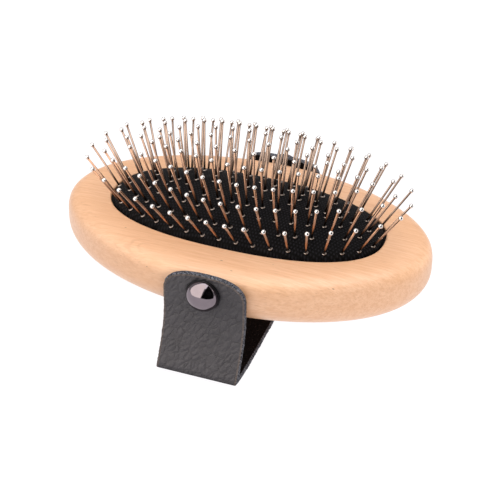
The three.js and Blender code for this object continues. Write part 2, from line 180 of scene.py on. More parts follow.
# corners of what the polished metal reflects
LEFT_BOARD = ((-24, -345, -15), (-179, -185, -15), (-252, -100, 40), (-212, -20, 225), (-150, 17, 266),
              (75, 47, 290), (69, -160, 290))
RIGHT_BOARD = ((300, 60, 10), (300, 60, 200), (220, 300, 200), (220, 300, 10))
DARK_CARD = ((-22, -335, -15.5), (215, -85, -15.5), (105, 90, 262))


# ---- meshes ----

def make_piece(name, points, faces, materials, face_material=None):
    """A smooth mesh object from points in millimetres."""
    mesh = bpy.data.meshes.new(name)
    mesh.from_pydata([tuple(point) for point in np.asarray(points, float) * MM], [], faces)
    for material in materials:
        mesh.materials.append(material)
    if face_material is not None:
        mesh.polygons.foreach_set("material_index", face_material)
    mesh.polygons.foreach_set("use_smooth", [True] * len(mesh.polygons))
    mesh.update()
    piece = bpy.data.objects.new(name, mesh)
    bpy.context.scene.collection.objects.link(piece)
    return piece


def oval(half, squareness, z, steps=AROUND):
    """Loop of points round a superellipse."""
    angle = np.linspace(0, 2 * math.pi, steps, endpoint=False)
    c, s = np.cos(angle), np.sin(angle)
    x = half[0] * np.sign(c) * np.abs(c) ** (2 / squareness)
    y = half[1] * np.sign(s) * np.abs(s) ** (2 / squareness)
    return np.stack([x, y, np.full(steps, z, float)], axis=1)


def skin(loops, start, end):
    """Closed surface through loops of one length, with a point at each end."""
    steps = len(loops[0])
    points = np.vstack([[start], *loops, [end]])
    first = [1 + ring * steps for ring in range(len(loops))]
    faces = []
    for i in range(steps):
        j = (i + 1) % steps
        faces.append((0, first[0] + j, first[0] + i))
        for low, high in zip(first, first[1:]):
            faces.append((low + i, low + j, high + j, high + i))
        faces.append((first[-1] + i, first[-1] + j, len(points) - 1))
    return points, faces


def turned(faces):
    """Faces that look the other way."""
    return [tuple(reversed(face)) for face in faces]


def join(parts):
    """One list of points and one of faces from several (points, faces) pairs."""
    points, faces, used = [], [], 0
    for part_points, part_faces in parts:
        points.append(part_points)
        faces.extend(tuple(index + used for index in face) for face in part_faces)
        used += len(part_points)
    return np.vstack(points), faces


def lathe(profile, steps):
    """Surface of revolution about Z from an axis-to-axis profile of (radius, height)."""
    loops = [oval((radius, radius), 2, height, steps) for radius, height in profile[1:-1]]
    return skin(loops, (0, 0, profile[0][1]), (0, 0, profile[-1][1]))


def stood(part, foot, direction):
    """A part made about Z, set on a foot point along a direction."""
    points, faces = part
    turn = np.array(Vector((0, 0, 1)).rotation_difference(Vector(direction)).to_matrix())
    return points @ turn.T + np.asarray(foot, float), faces


# ---- materials ----

class Shader:
    """A material with a Principled shader, and short calls for its nodes."""

    def __init__(self, name, roughness, metallic=0.0):
        self.material = bpy.data.materials.new(name)
        self.material.use_nodes = True
        self.tree = self.material.node_tree
        self.surface = self.tree.nodes["Principled BSDF"]
        self.surface.inputs["Roughness"].default_value = roughness
        self.surface.inputs["Metallic"].default_value = metallic

    def node(self, kind, inputs=None, **settings):
        made = self.tree.nodes.new("ShaderNode" + kind)
        for key, value in settings.items():
            setattr(made, key, value)
        for key, value in (inputs or {}).items():
            self.feed(made.inputs[key], value)
        return made

    def feed(self, socket, value):
        if isinstance(value, bpy.types.NodeSocket):
            self.tree.links.new(value, socket)
        else:
            socket.default_value = value

    def place(self, scale):
        """Object coordinates in millimetres, stretched by a scale on each axis."""
        where = self.node("TexCoord").outputs["Object"]
        scales = tuple(1000.0 * share for share in scale)
        return self.node("Mapping", {"Vector": where, "Scale": scales}).outputs["Vector"]

    def noise(self, vector, scale=1.0, detail=2.0, roughness=0.5):
        inputs = {"Vector": vector, "Scale": scale, "Detail": detail, "Roughness": roughness}
        return self.node("TexNoise", inputs).outputs["Fac"]

    def cells(self, vector, scale, feature="DISTANCE_TO_EDGE"):
        inputs = {"Vector": vector, "Scale": scale}
        return self.node("TexVoronoi", inputs, feature=feature).outputs["Distance"]

    def math(self, operation, a, b=0.0, c=0.0):
        return self.node("Math", {0: a, 1: b, 2: c}, operation=operation).outputs[0]

    def split(self, vector):
        made = self.node("SeparateXYZ", {"Vector": vector})
        return made.outputs["X"], made.outputs["Y"], made.outputs["Z"]

    def range(self, value, low, high, to_low=0.0, to_high=1.0):
        """A value's smooth way from low to high, as to_low to to_high."""
        inputs = {"Value": value, "From Min": low, "From Max": high, "To Min": to_low, "To Max": to_high}
        made = self.node("MapRange", inputs, interpolation_type="SMOOTHSTEP")
        return made.outputs["Result"]

    def mix(self, share, a, b):
        made = self.node("Mix", data_type="RGBA")
        self.feed(made.inputs["Factor"], share)
        self.feed(made.inputs["A"], a)
        self.feed(made.inputs["B"], b)
        return made.outputs["Result"]

    def bump(self, height, depth, under=None):
        """Normal from a height that runs 0 to 1 and stands for a depth in millimetres."""
        made = self.node("Bump", {"Height": height, "Distance": depth * MM})
        if under is not None:
            self.feed(made.inputs["Normal"], under)
        return made.outputs["Normal"]

    def set(self, **sockets):
        names = {"color": "Base Color", "roughness": "Roughness", "normal": "Normal"}
        for key, value in sockets.items():
            self.feed(self.surface.inputs[names[key]], value)
        return self.material

    def fix(self, name, value):
        self.surface.inputs[name].default_value = value


def rgb(r, g, b):
    return (r, g, b, 1.0)


def beech_material():
    """Pale beech: slow changes of tone along X, fine streaks, short rays, a few faint arcs."""
    s = Shader("beech", 0.42)
    s.fix("Coat Weight", 0.5)
    s.fix("Coat Roughness", 0.35)
    x, _, _ = s.split(s.place((1, 1, 1)))
    cloud = s.noise(s.place((0.012, 0.05, 0.05)), detail=2.0)
    streak = s.noise(s.place((0.04, 1.0, 0.7)), detail=4.0, roughness=0.6)
    fibre = s.noise(s.place((0.12, 3.0, 2.0)), detail=3.0, roughness=0.6)
    rays = s.noise(s.place((0.22, 2.2, 1.6)), detail=1.0)
    ray_tone = s.range(rays, 0.64, 0.72)
    knot = s.node("VectorMath", {0: s.place((0.42, 1, 0.6)), 1: ARC_SHIFT}, operation="ADD")
    reach = s.node("VectorMath", {0: knot.outputs[0]}, operation="LENGTH").outputs["Value"]
    wobble = s.math("MULTIPLY", s.noise(s.place((0.12, 0.2, 0.2)), detail=1.0), 3.0)
    arcs = s.range(s.math("SINE", s.math("MULTIPLY", s.math("ADD", reach, wobble), 4.2)), 0.2, 1.0)
    arc_tone = s.math("MULTIPLY", arcs, s.range(reach, 2.5, 7.0, 0.34, 0.0))
    arc_tone = s.math("MULTIPLY", arc_tone, s.range(x, *ARC_FADE, 1.0, 0.0))
    specks = s.range(s.cells(s.place((0.09, 0.28, 0.28)), 1.0, "F1"), 0.035, 0.055, 1.0, 0.0)
    color = s.mix(s.range(cloud, 0.3, 0.7), rgb(0.82, 0.465, 0.255), rgb(0.86, 0.51, 0.305))
    color = s.mix(s.range(streak, 0.38, 0.66, 0.0, 0.52), color, rgb(0.72, 0.365, 0.18))
    color = s.mix(s.range(fibre, 0.45, 0.62, 0.0, 0.34), color, rgb(0.68, 0.335, 0.17))
    color = s.mix(s.math("MULTIPLY", ray_tone, 0.22), color, rgb(0.46, 0.20, 0.10))
    color = s.mix(arc_tone, color, rgb(0.56, 0.27, 0.14))
    color = s.mix(s.math("MULTIPLY", specks, 0.75), color, rgb(0.20, 0.08, 0.05))
    roughness = s.range(fibre, 0.3, 0.7, 0.38, 0.5)
    normal = s.bump(fibre, 0.02, s.bump(ray_tone, 0.01))
    return s.set(color=color, roughness=roughness, normal=normal)


def weave_material():
    """Black woven cloth: round thread crossings in staggered rows."""
    s = Shader("woven_fabric", 0.75)
    x, y, _ = s.split(s.place((1, 1, 1)))
    pitch_x, pitch_y = 1.1, 0.95
    row = s.math("DIVIDE", y, pitch_y)
    shift = s.math("MULTIPLY", s.math("FLOOR", row), 0.5)
    column = s.math("ADD", s.math("DIVIDE", x, pitch_x), shift)
    bump_x = s.math("SINE", s.math("MULTIPLY", s.math("FRACT", column), math.pi))
    bump_y = s.math("SINE", s.math("MULTIPLY", s.math("FRACT", row), math.pi))
    crossing = s.math("MULTIPLY", bump_x, bump_y)
    thread = s.noise(s.place((2.2, 9.0, 4.0)), detail=2.0)
    fluff = s.noise(s.place((0.25, 0.25, 0.25)), detail=3.0)
    shade = s.range(crossing, 0.35, 1.0)
    # painted highlight on the thread crossings and painted shade between them
    color = s.mix(shade, rgb(0.0004, 0.0003, 0.0004), rgb(0.0105, 0.0095, 0.0125))
    color = s.mix(s.range(thread, 0.45, 0.8, 0.0, 0.4), color, rgb(0.013, 0.0115, 0.0145))
    roughness = s.range(fluff, 0.3, 0.7, 0.62, 0.85)
    s.fix("Sheen Weight", 0.01)
    s.fix("Sheen Roughness", 0.4)
    s.fix("Specular IOR Level", 0.09)
    normal = s.bump(crossing, 0.30, s.bump(thread, 0.04))
    return s.set(color=color, roughness=roughness, normal=normal)


def rubber_material():
    s = Shader("rubber", 0.7)
    grain = s.noise(s.place((1, 1, 1)), scale=3.0, detail=3.0)
    color = s.mix(grain, rgb(0.006, 0.006, 0.007), rgb(0.014, 0.014, 0.015))
    return s.set(color=color, roughness=s.range(grain, 0.3, 0.7, 0.6, 0.8), normal=s.bump(grain, 0.03))


def steel_material(name, color_a, color_b, roughness):
    """Polished metal with fine drawn lines and slight staining."""
    s = Shader(name, roughness, metallic=1.0)
    stain = s.noise(s.place((0.5, 0.5, 0.5)), detail=3.0)
    lines = s.noise(s.place((6, 6, 0.6)), detail=2.0)
    color = s.mix(s.range(stain, 0.3, 0.7), color_a, color_b)
    rough = s.range(lines, 0.3, 0.7, roughness * 0.8, roughness * 1.25)
    return s.set(color=color, roughness=rough, normal=s.bump(lines, 0.003))


def wire_material():
    """Brown wire, painted nearly black where it leaves the fabric as a reflection of the black cloth, and
    painted more coppery at the front as a reflection of the beech.
    """
    s = Shader("pin_wire", 0.3, metallic=1.0)
    x, y, z = s.split(s.place((1, 1, 1)))
    share = lambda value, half: s.math("ABSOLUTE", s.math("DIVIDE", value, half))
    out = s.math("ADD", s.math("POWER", share(x, FABRIC[0]), PAD_SQUARENESS),
                 s.math("POWER", share(y, FABRIC[1]), PAD_SQUARENESS))
    fall = s.math("POWER", out, DOME_CROWN / PAD_SQUARENESS)
    drop = s.math("MULTIPLY", fall, DOME_HEIGHT * DOME_SPREAD)
    above = s.math("SUBTRACT", z, s.math("SUBTRACT", DOME_BASE + DOME_HEIGHT, drop))
    stain = s.noise(s.place((0.4, 0.4, 0.25)), detail=3.0)
    reflected_wood_tone = s.mix(s.range(stain, 0.3, 0.7), rgb(0.45, 0.25, 0.16), rgb(0.35, 0.19, 0.12))
    bare = s.mix(s.range(stain, 0.3, 0.7), rgb(0.36, 0.265, 0.215), rgb(0.29, 0.205, 0.165))
    # painted reflection of the beech: coppery on the front pins, fading to the wire's bare tone behind
    color = s.mix(s.range(y, *WOOD_REFLECTION_FADE), reflected_wood_tone, bare)
    # painted dark reflection of the black fabric, fading out up to 9 mm above it
    color = s.mix(s.range(above, 0.5, 9.0), rgb(0.022, 0.013, 0.009), color)
    return s.set(color=color, roughness=s.range(stain, 0.3, 0.7, 0.24, 0.32))


def leather_material():
    """Dark grey leather: slanted uneven pillows between soft creases, with finer pebbles on them."""
    s = Shader("leather_grain", 0.55)
    x, y, z = s.split(s.place((1, 1, 1)))
    warp = s.noise(s.place((0.6, 0.6, 0.6)), detail=3.0)
    curl = s.noise(s.place((0.5, 0.8, 0.7)), detail=3.0)
    slant = s.math("MULTIPLY_ADD", z, -0.45, x)
    place = s.node("CombineXYZ", {
        "X": s.math("MULTIPLY_ADD", warp, 1.0, slant), "Y": s.math("MULTIPLY_ADD", curl, 1.0, y),
        "Z": s.math("MULTIPLY_ADD", curl, 1.0, s.math("MULTIPLY", z, 0.68))}).outputs[0]
    gap = s.cells(place, 0.44)
    presence = s.range(s.noise(s.place((0.22, 0.22, 0.3)), detail=2.0), 0.35, 0.62, 0.25, 1.0)
    pillow = s.range(gap, 0.0, 0.42)
    crease = s.math("MULTIPLY", s.range(gap, 0.0, 0.13, 1.0, 0.0), presence)
    pebble = s.range(s.cells(place, 1.3), 0.0, 0.4)
    fine = s.noise(s.place((3, 3, 3)), detail=3.0)
    tone = s.noise(s.place((0.16, 0.16, 0.16)), detail=2.0)
    color = s.mix(s.range(tone, 0.3, 0.7), rgb(0.036, 0.0315, 0.037), rgb(0.045, 0.0395, 0.046))
    # painted shade in the creases and in the gaps between the pebbles
    color = s.mix(s.math("MULTIPLY", crease, 0.62), color, rgb(0.019, 0.015, 0.018))
    color = s.mix(s.range(pebble, 0.0, 1.0, 0.22, 0.0), color, rgb(0.030, 0.025, 0.029))
    color = s.mix(s.range(fine, 0.4, 0.8, 0.0, 0.14), color, rgb(0.10, 0.09, 0.10))
    roughness = s.range(fine, 0.3, 0.7, 0.54, 0.68)
    normal = s.bump(pillow, 0.22, s.bump(crease, -0.08, s.bump(pebble, 0.07, s.bump(fine, 0.03))))
    return s.set(color=color, roughness=roughness, normal=normal)


def suede_material(name, dark, light):
    """Napped flesh side or cut edge of leather."""
    s = Shader(name, 0.95)
    nap = s.noise(s.place((2.0, 2.0, 2.0)), detail=4.0, roughness=0.7)
    clump = s.noise(s.place((0.7, 0.7, 0.7)), detail=2.0)
    share = s.math("MULTIPLY", s.range(nap, 0.4, 0.62), s.range(clump, 0.2, 0.8, 0.5, 1.0))
    lint = s.range(s.noise(s.place((2.4, 2.4, 2.4)), detail=1.0), 0.66, 0.74, 0.0, 0.7)
    color = s.mix(lint, s.mix(share, dark, light), rgb(0.09, 0.07, 0.065))
    s.fix("Specular IOR Level", 0.05)
    return s.set(color=color, roughness=s.range(nap, 0.3, 0.7, 0.85, 1.0), normal=s.bump(nap, 0.25))


# ---- wood body ----

def wood_body(material):
    """One surface from the back's middle, round the sides and the rim, and down into the pocket."""
    outer = lambda inset, z: oval((BODY[0] - inset, BODY[1] - inset), BODY_SQUARENESS, z)
    inner = lambda offset, z: oval((PAD[0] + offset, PAD[1] + offset), PAD_SQUARENESS, z)
    back_edge = outer(BACK_ROUND, 0.0)
    loops = [back_edge * (share, share, 1) for share in BACK_LOOPS]
    for turn in np.linspace(0, math.pi / 2, ROUND_STEPS):
        loops.append(outer(BACK_ROUND * (1 - math.sin(turn)), WIDEST_HEIGHT * (1 - math.cos(turn))))
    upper = BODY_THICKNESS - WIDEST_HEIGHT
    for turn in np.linspace(0, math.pi / 2, ROUND_STEPS)[1:]:
        inset = TOP_ROUND * (1 - max(math.cos(turn), 0) ** (2 / TOP_SQUARENESS))
        loops.append(outer(inset, WIDEST_HEIGHT + upper * math.sin(turn) ** (2 / TOP_SQUARENESS)))
    rim_outside, rim_inside = loops[-1], inner(OPENING_ROUND, BODY_THICKNESS)
    for share in RIM_LOOPS:
        loops.append(rim_outside * (1 - share) + rim_inside * share)
    for turn in np.linspace(0, math.pi / 2, OPENING_STEPS):
        drop = OPENING_ROUND * (1 - math.cos(turn))
        loops.append(inner(OPENING_ROUND * (1 - math.sin(turn)), BODY_THICKNESS - drop))
    for offset, z in ((0, GROOVE_TOP), (GROOVE_DEPTH, GROOVE_TOP), (GROOVE_DEPTH, GROOVE_BOTTOM),
                      (0, GROOVE_BOTTOM), (0, POCKET_FLOOR)):
        loops.append(inner(offset, z))
    floor_edge = loops[-1]
    loops += [floor_edge * (share, share, 1) for share in FLOOR_LOOPS]
    points, faces = skin(loops, (0, 0, 0), (0, 0, POCKET_FLOOR))
    piece = make_piece("beech_body", points, faces, [material])
    bore(piece, BODY[1] - HOLE_DEPTH, BODY[1] + CUTTER_PAST)
    return finished(piece, "brush", "beech", "wood_body")


def bore(piece, y_low, y_high):
    """Cuts the two screw holes, which mirror each other."""
    radius, reach = SHANK_RADIUS + SHANK_CLEARANCE, y_high - y_low
    for side in (-1, 1):
        hole = lathe([(0, 0), (radius, 0), (radius, reach), (0, reach)], HOLE_SIDES)
        cutter = make_piece("cutter", *stood(hole, (0, side * y_low, SCREW_HEIGHT), (0, side, 0)), [])
        cut = piece.modifiers.new("hole", "BOOLEAN")
        cut.operation = "DIFFERENCE"
        cut.solver = "EXACT"
        cut.object = cutter
        bpy.context.view_layer.objects.active = piece
        bpy.ops.object.modifier_apply(modifier=cut.name)
        bpy.data.objects.remove(cutter)
    weld(piece)


def weld(piece):
    """Merges points that lie on each other."""
    work = bmesh.new()
    work.from_mesh(piece.data)
    bmesh.ops.remove_doubles(work, verts=work.verts, dist=WELD_DISTANCE * MM)
    work.to_mesh(piece.data)
    work.free()


def finished(piece, body, slot, *nodes):
    """Rides on a body and stands for CAD nodes. The slot is not used."""
    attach(piece, body)
    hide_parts(*nodes)
    return piece


# ---- cushion ----

def dome_rise(share):
    """Height above the edge as a share of the whole: a wide crown and a tight fall at the edge."""
    share = np.asarray(share, float)
    dive = 1 - np.sqrt(np.maximum(1 - share ** DOME_EDGE, 0))
    return 1 - DOME_SPREAD * share ** DOME_CROWN - (1 - DOME_SPREAD) * dive


def fabric_height(x, y):
    """Height of the fabric's outer face above a place."""
    out = abs(x / FABRIC[0]) ** PAD_SQUARENESS + abs(y / FABRIC[1]) ** PAD_SQUARENESS
    share = out ** (1 / PAD_SQUARENESS)
    return DOME_BASE + DOME_HEIGHT * float(dome_rise(min(share, 1)))


def dome_loops(half, base, height, steps):
    """Loops from just outside the crown to the edge."""
    loops = []
    for share in np.sin(np.linspace(0, math.pi / 2, steps + 1)[1:]):
        level = base + height * float(dome_rise(share))
        loops.append(oval((half[0] * share, half[1] * share), PAD_SQUARENESS, level))
    return loops


def shell(outer_loops, edge_loops, inner_loops, top, under):
    """Closed dome of some thickness: down its outer face, round its edge and up its inner face."""
    loops = [*outer_loops, *edge_loops, *reversed(inner_loops)]
    points, faces = skin(loops, (0, 0, top), (0, 0, under))
    return points, turned(faces)


def cushion_fabric(material):
    top = DOME_BASE + DOME_HEIGHT
    inner_half = tuple(half - FABRIC_THICKNESS for half in FABRIC)
    inner_base = DOME_BASE - HEM_DROP
    under = top - FABRIC_THICKNESS
    points, faces = shell(
        dome_loops(FABRIC, DOME_BASE, DOME_HEIGHT, FABRIC_LOOPS),
        [oval(FABRIC, PAD_SQUARENESS, inner_base)],
        dome_loops(inner_half, inner_base, under - inner_base, FABRIC_LOOPS),
        top, under)
    piece = make_piece("woven_face", points, faces, [material])
    finished(piece, "brush", "woven_fabric", "cushion_fabric")
    sink_with_pins(piece)


def sink_with_pins(piece):
    """Gives the piece a mesh of its own."""
    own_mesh(piece)


def rubber_cushion(material):
    top = DOME_BASE + DOME_HEIGHT - FABRIC_THICKNESS - LAYER_GAP
    base = DOME_BASE - HEM_DROP - LAYER_GAP
    outer_half = tuple(half - FABRIC_THICKNESS - LAYER_GAP for half in FABRIC)
    inner_half = tuple(half - RUBBER_THICKNESS for half in outer_half)
    under = top - RUBBER_THICKNESS
    flange = tuple(half + FLANGE_REACH for half in PAD)
    points, faces = shell(
        dome_loops(outer_half, base, top - base, RUBBER_LOOPS),
        [oval(flange, PAD_SQUARENESS, base), oval(flange, PAD_SQUARENESS, FLANGE_BOTTOM)],
        dome_loops(inner_half, FLANGE_BOTTOM, under - FLANGE_BOTTOM, RUBBER_LOOPS),
        top, under)
    piece = make_piece("rubber_dome", points, faces, [material])
    finished(piece, "brush", "rubber", "rubber_cushion")
    sink_with_pins(piece)


# ---- pins ----

def ring_points(ring):
    """Places of a ring's pins: equal steps along the oval from its front middle."""
    fine = 2400
    angle = -math.pi / 2 + 2 * math.pi * np.arange(2 * fine + 1) / fine
    c, s = np.cos(angle), np.sin(angle)
    x = RING_HALF_LENGTHS[ring] * np.sign(c) * np.abs(c) ** (2 / RING_SQUARENESSES[ring])
    y = RING_HALF_WIDTHS[ring] * np.sign(s) * np.abs(s) ** (2 / RING_SQUARENESSES[ring])
    travelled = np.concatenate([[0], np.cumsum(np.hypot(np.diff(x), np.diff(y)))])
    pitch = travelled[fine] / RING_PIN_COUNTS[ring]
    targets = (np.arange(RING_PIN_COUNTS[ring]) + RING_PHASES[ring]) * pitch
    return np.stack([np.interp(targets, travelled, x), np.interp(targets, travelled, y)], axis=1)


def lean(distance, reach, linear, cubic):
    """Slope of a pin away from upright at a distance from the middle."""
    share = distance / reach
    return linear * share + cubic * share ** 3


def pin_line(x, y):
    """Foot on the fabric, and direction, of the pin at x, y."""
    direction = Vector((lean(x, *LEAN_X), lean(y, *LEAN_Y), 1)).normalized()
    return Vector((x, y, fabric_height(x, y))), direction


def wire_part(foot, direction):
    profile = [(0, -PIN_BURIED), (WIRE_RADIUS, -PIN_BURIED), (WIRE_RADIUS, 0),
               (WIRE_RADIUS, PIN_REACH), (0, PIN_REACH)]
    return stood(lathe(profile, PIN_SIDES), foot, direction)


def ball_part(foot, direction):
    profile = [(BALL_RADIUS * math.sin(turn), PIN_REACH - BALL_RADIUS * math.cos(turn))
               for turn in np.linspace(0, math.pi, BALL_LOOPS)]
    return stood(lathe(profile, PIN_SIDES), foot, direction)


def fabric_normal(x, y):
    """Unit normal of the fabric's outer face, from its slopes over a small step."""
    step = 0.05
    slope_x = (fabric_height(x + step, y) - fabric_height(x - step, y)) / (2 * step)
    slope_y = (fabric_height(x, y + step) - fabric_height(x, y - step)) / (2 * step)
    return Vector((-slope_x, -slope_y, 1)).normalized()


def collar_part(foot, _):
    """Crescent of the ring round a pin's foot, built only on its front side where it catches the light; the
    rest of the ring, which lies in shade, is left out.
    """
    loops, ends = [], []
    around = np.linspace(0, 2 * math.pi, COLLAR_SIDES, endpoint=False)
    for turn in np.linspace(-1, 1, COLLAR_LOOPS):
        angle = COLLAR_FACING + turn * COLLAR_HALF_TURN
        out = np.array((math.cos(angle), math.sin(angle), 0))
        thickness = COLLAR_WIRE * math.cos(turn * math.pi / 2 * COLLAR_TAPER)
        loops.append(np.array([out * (COLLAR_RADIUS + thickness * math.cos(tilt))
                               - np.array((0, 0, thickness * math.sin(tilt))) for tilt in around]))
        ends.append(out * COLLAR_RADIUS)
    normal = (fabric_normal(foot.x, foot.y) + Vector((0, 0, COLLAR_UPRIGHT))).normalized()
    return stood(skin(loops, ends[0], ends[-1]), foot + normal * COLLAR_LIFT, normal)


def pin_rings(materials):
    """Each quarter of a ring: wires, then balls and collars."""
    for ring, count in enumerate(RING_PIN_COUNTS):
        points = ring_points(ring)
        for sector in range(SECTORS):
            start = int(math.floor(count * sector / SECTORS + 0.5))
            stop = int(math.floor(count * (sector + 1) / SECTORS + 0.5))
            parts, kinds = [], []
            for x, y in points[start:stop]:
                line = pin_line(x, y)
                for part, kind in ((wire_part, WIRE), (ball_part, BALL), (collar_part, RING)):
                    parts.append(part(*line))
                    kinds += [kind] * len(parts[-1][1])
            suffix = f"ring_{ring + 1}_quarter_{sector + 1}"
            piece = make_piece(f"steel_pins_{suffix}", *join(parts), materials, kinds)
            finished(piece, f"pins_ring_{ring + 1}", "pin_steel", f"pins_{suffix}")


# ---- hand strap ----

def bezier(a, b, c, d, steps):
    """Points of a cubic curve after its first one."""
    t = np.linspace(0, 1, steps + 1)[1:, None]
    a, b, c, d = (np.array(point, float) for point in (a, b, c, d))
    return a * (1 - t) ** 3 + 3 * b * t * (1 - t) ** 2 + 3 * c * t ** 2 * (1 - t) + d * t ** 3


def strap_line():
    """Middle line of the leather as (y, z), from the front tab's end to the rear tab's end."""
    straight = lambda a, b, steps: np.linspace(a, b, steps + 1)[1:]
    start = (-STRAP_SIDE, TAB_TOP_FRONT)
    line = [np.array([start])]
    line.append(straight(start, (-STRAP_SIDE, TAB_FOOT), 40))
    line.append(bezier((-STRAP_SIDE, TAB_FOOT), (-STRAP_SIDE, TAB_FOOT - FRONT_DROP),
                       (-STRAP_SIDE - FRONT_SWING, UNDER_LEVEL / 2), CREASE, 44))
    line.append(bezier(CREASE, (CREASE[0] + FOLD_RUN, UNDER_LEVEL),
                       (UNDER_FRONT - FOLD_RUN, UNDER_LEVEL), (UNDER_FRONT, UNDER_LEVEL), 30))
    line.append(straight((UNDER_FRONT, UNDER_LEVEL), (UNDER_REAR, UNDER_LEVEL), 60))
    line.append(bezier((UNDER_REAR, UNDER_LEVEL), (UNDER_REAR + REAR_RUN, UNDER_LEVEL),
                       (STRAP_SIDE, TAB_FOOT - REAR_RUN), (STRAP_SIDE, TAB_FOOT), 60))
    line.append(straight((STRAP_SIDE, TAB_FOOT), (STRAP_SIDE, TAB_TOP_REAR), 34))
    return np.vstack(line)


def strap_sides(line):
    """Unit normals of the line that point out of the loop, and the mitre stretch at each point."""
    along = np.diff(line, axis=0)
    along /= np.linalg.norm(along, axis=1)[:, None]
    into = np.vstack([along[:1], along])
    out = np.vstack([along, along[-1:]])
    mean = into + out
    mean /= np.linalg.norm(mean, axis=1)[:, None]
    normal = np.stack([mean[:, 1], -mean[:, 0]], axis=1)
    square = np.stack([into[:, 1], -into[:, 0]], axis=1)
    return normal, 1 / np.clip((normal * square).sum(axis=1), MITRE_LIMIT, 1)


def strap_rows(length):
    """Distances from the front end at which the strap is cut across, close together in the arches."""
    total = length[-1]
    arch = TAB_ARCH * np.linspace(0, 1, ARCH_STEPS + 1) ** TAB_SQUARENESS_FRONT
    middle = length[(length > TAB_ARCH + 0.2) & (length < total - TAB_ARCH - 0.2)]
    return np.concatenate([arch, middle, total - arch[::-1]])


def strap_columns():
    """Side, inset from the cut edge, height and kind of the next face, for each point round a cut."""
    half = STRAP_THICKNESS / 2
    edge = [(0.8, half, LINE), (0.4, half - 0.03, LINE), (0.22, half - 0.14, EDGE),
            (0.08, half - 0.32, EDGE), (0.0, half - 0.6, EDGE), (0.0, 0.0, EDGE),
            (0.0, 0.6 - half, EDGE), (0.12, 0.2 - half, EDGE), (0.45, -half, SUEDE)]
    face = np.linspace(-1, 1, FACE_COLUMNS)
    columns = [(share, FACE_INSET, half, GRAIN) for share in face]
    columns += [(1, inset, height, kind) for inset, height, kind in edge]
    columns += [(share, FACE_INSET, -half, SUEDE) for share in face[::-1]]
    back = list(reversed(edge))
    kinds = [kind for _, _, kind in back[1:]] + [GRAIN]
    columns += [(-1, inset, height, kind) for (inset, height, _), kind in zip(back, kinds)]
    return columns


def hand_strap(materials):
    """Leather strip: grain side out, a thin brown line at its edge, fuzzy cut edges, suede in."""
    line = strap_line()
    normal, stretch = strap_sides(line)
    length = np.concatenate([[0], np.cumsum(np.linalg.norm(np.diff(line, axis=0), axis=1))])
    at = lambda where, values: np.interp(where, length, values)
    rows, columns = strap_rows(length), strap_columns()
    half = STRAP_WIDTH / 2
    fray = np.random.default_rng(FRAY_SEED).normal(0, EDGE_FRAY, (len(rows), 2))
    fray[0] = fray[-1] = 0
    points, faces, kinds = [], [], []
    for row, place in enumerate(rows):
        end = min(place, length[-1] - place)
        climb = max(1 - end / TAB_ARCH, 0)
        squareness = TAB_SQUARENESS_FRONT if place < length[-1] / 2 else TAB_SQUARENESS_REAR
        width = (1 - climb ** squareness) ** (1 / squareness)
        for share, inset, height, _ in columns:
            inset = inset + fray[row, int(share > 0)] * max(1 - inset / FRAY_REACH, 0)
            shift = inset * climb * (1 if place < length[-1] / 2 else -1)
            along = place + shift
            out = height * at(along, stretch)
            points.append((share * (half - inset) * width,
                           at(along, line[:, 0]) + at(along, normal[:, 0]) * out,
                           at(along, line[:, 1]) + at(along, normal[:, 1]) * out))
    around = len(columns)
    for row in range(len(rows) - 1):
        for k, (_, _, _, kind) in enumerate(columns):
            here, after = row * around + k, row * around + (k + 1) % around
            faces.append((here + around, after + around, after, here))
            kinds.append(kind)
    piece = make_piece("leather_strap", points, faces, materials, kinds)
    weld(piece)
    bore(piece, BODY[1] - CUTTER_PAST, STRAP_FACE + 2 * CUTTER_PAST)
    return finished(piece, "strap", "leather", "hand_strap")


# ---- fasteners ----

def fastener(name, profile, material, slot, side, node, steps=FASTENER_SIDES):
    """A lathed piece on the strap's screw axis. Heights are distances out from the middle."""
    direction = (0, side, 0)
    points, faces = stood(lathe(profile, steps), (0, 0, SCREW_HEIGHT), direction)
    piece = make_piece(name, points, faces, [material])
    return finished(piece, "brush", slot, node)


def rounded(radius, low, high, r, steps=6):
    """Profile of a disc's rounded rim from its lower face to its upper face."""
    arc = []
    for turn in np.linspace(-math.pi / 2, math.pi / 2, 2 * steps):
        centre = low + r if turn < 0 else high - r
        arc.append((radius - r + r * math.cos(turn), centre + r * math.sin(turn)))
    return arc


def washer_part():
    """Flat ring with a rounded rim, closed on itself round its hole."""
    inside = STRAP_FACE + FASTENER_GAP
    outside = inside + WASHER_THICKNESS
    hole = SHANK_RADIUS + SHANK_CLEARANCE
    profile = [(hole, inside), *rounded(WASHER_RADIUS, inside, outside, WASHER_ROUND), (hole, outside)]
    steps = FASTENER_SIDES
    rings = [oval((radius, radius), 2, height, steps) for radius, height in profile]
    faces = []
    for low in range(len(rings)):
        high = (low + 1) % len(rings)
        for i in range(steps):
            j = (i + 1) % steps
            faces.append((low * steps + i, low * steps + j, high * steps + j, high * steps + i))
    return np.vstack(rings), faces


def cap_profile():
    """Hollow dome, from the axis under it, round its rim, to the axis over it."""
    seat = STRAP_FACE + 2 * FASTENER_GAP + WASHER_THICKNESS
    inner = [((CAP_RADIUS - CAP_WALL) * math.cos(turn), seat + (CAP_HEIGHT - CAP_WALL) * math.sin(turn))
             for turn in np.linspace(math.pi / 2, 0, 14)]
    outer = [(CAP_RADIUS * math.cos(turn), seat + CAP_HEIGHT * math.sin(turn))
             for turn in np.linspace(0, math.pi / 2, 40)]
    inner[0], outer[-1] = (0, inner[0][1]), (0, outer[-1][1])
    return inner + outer


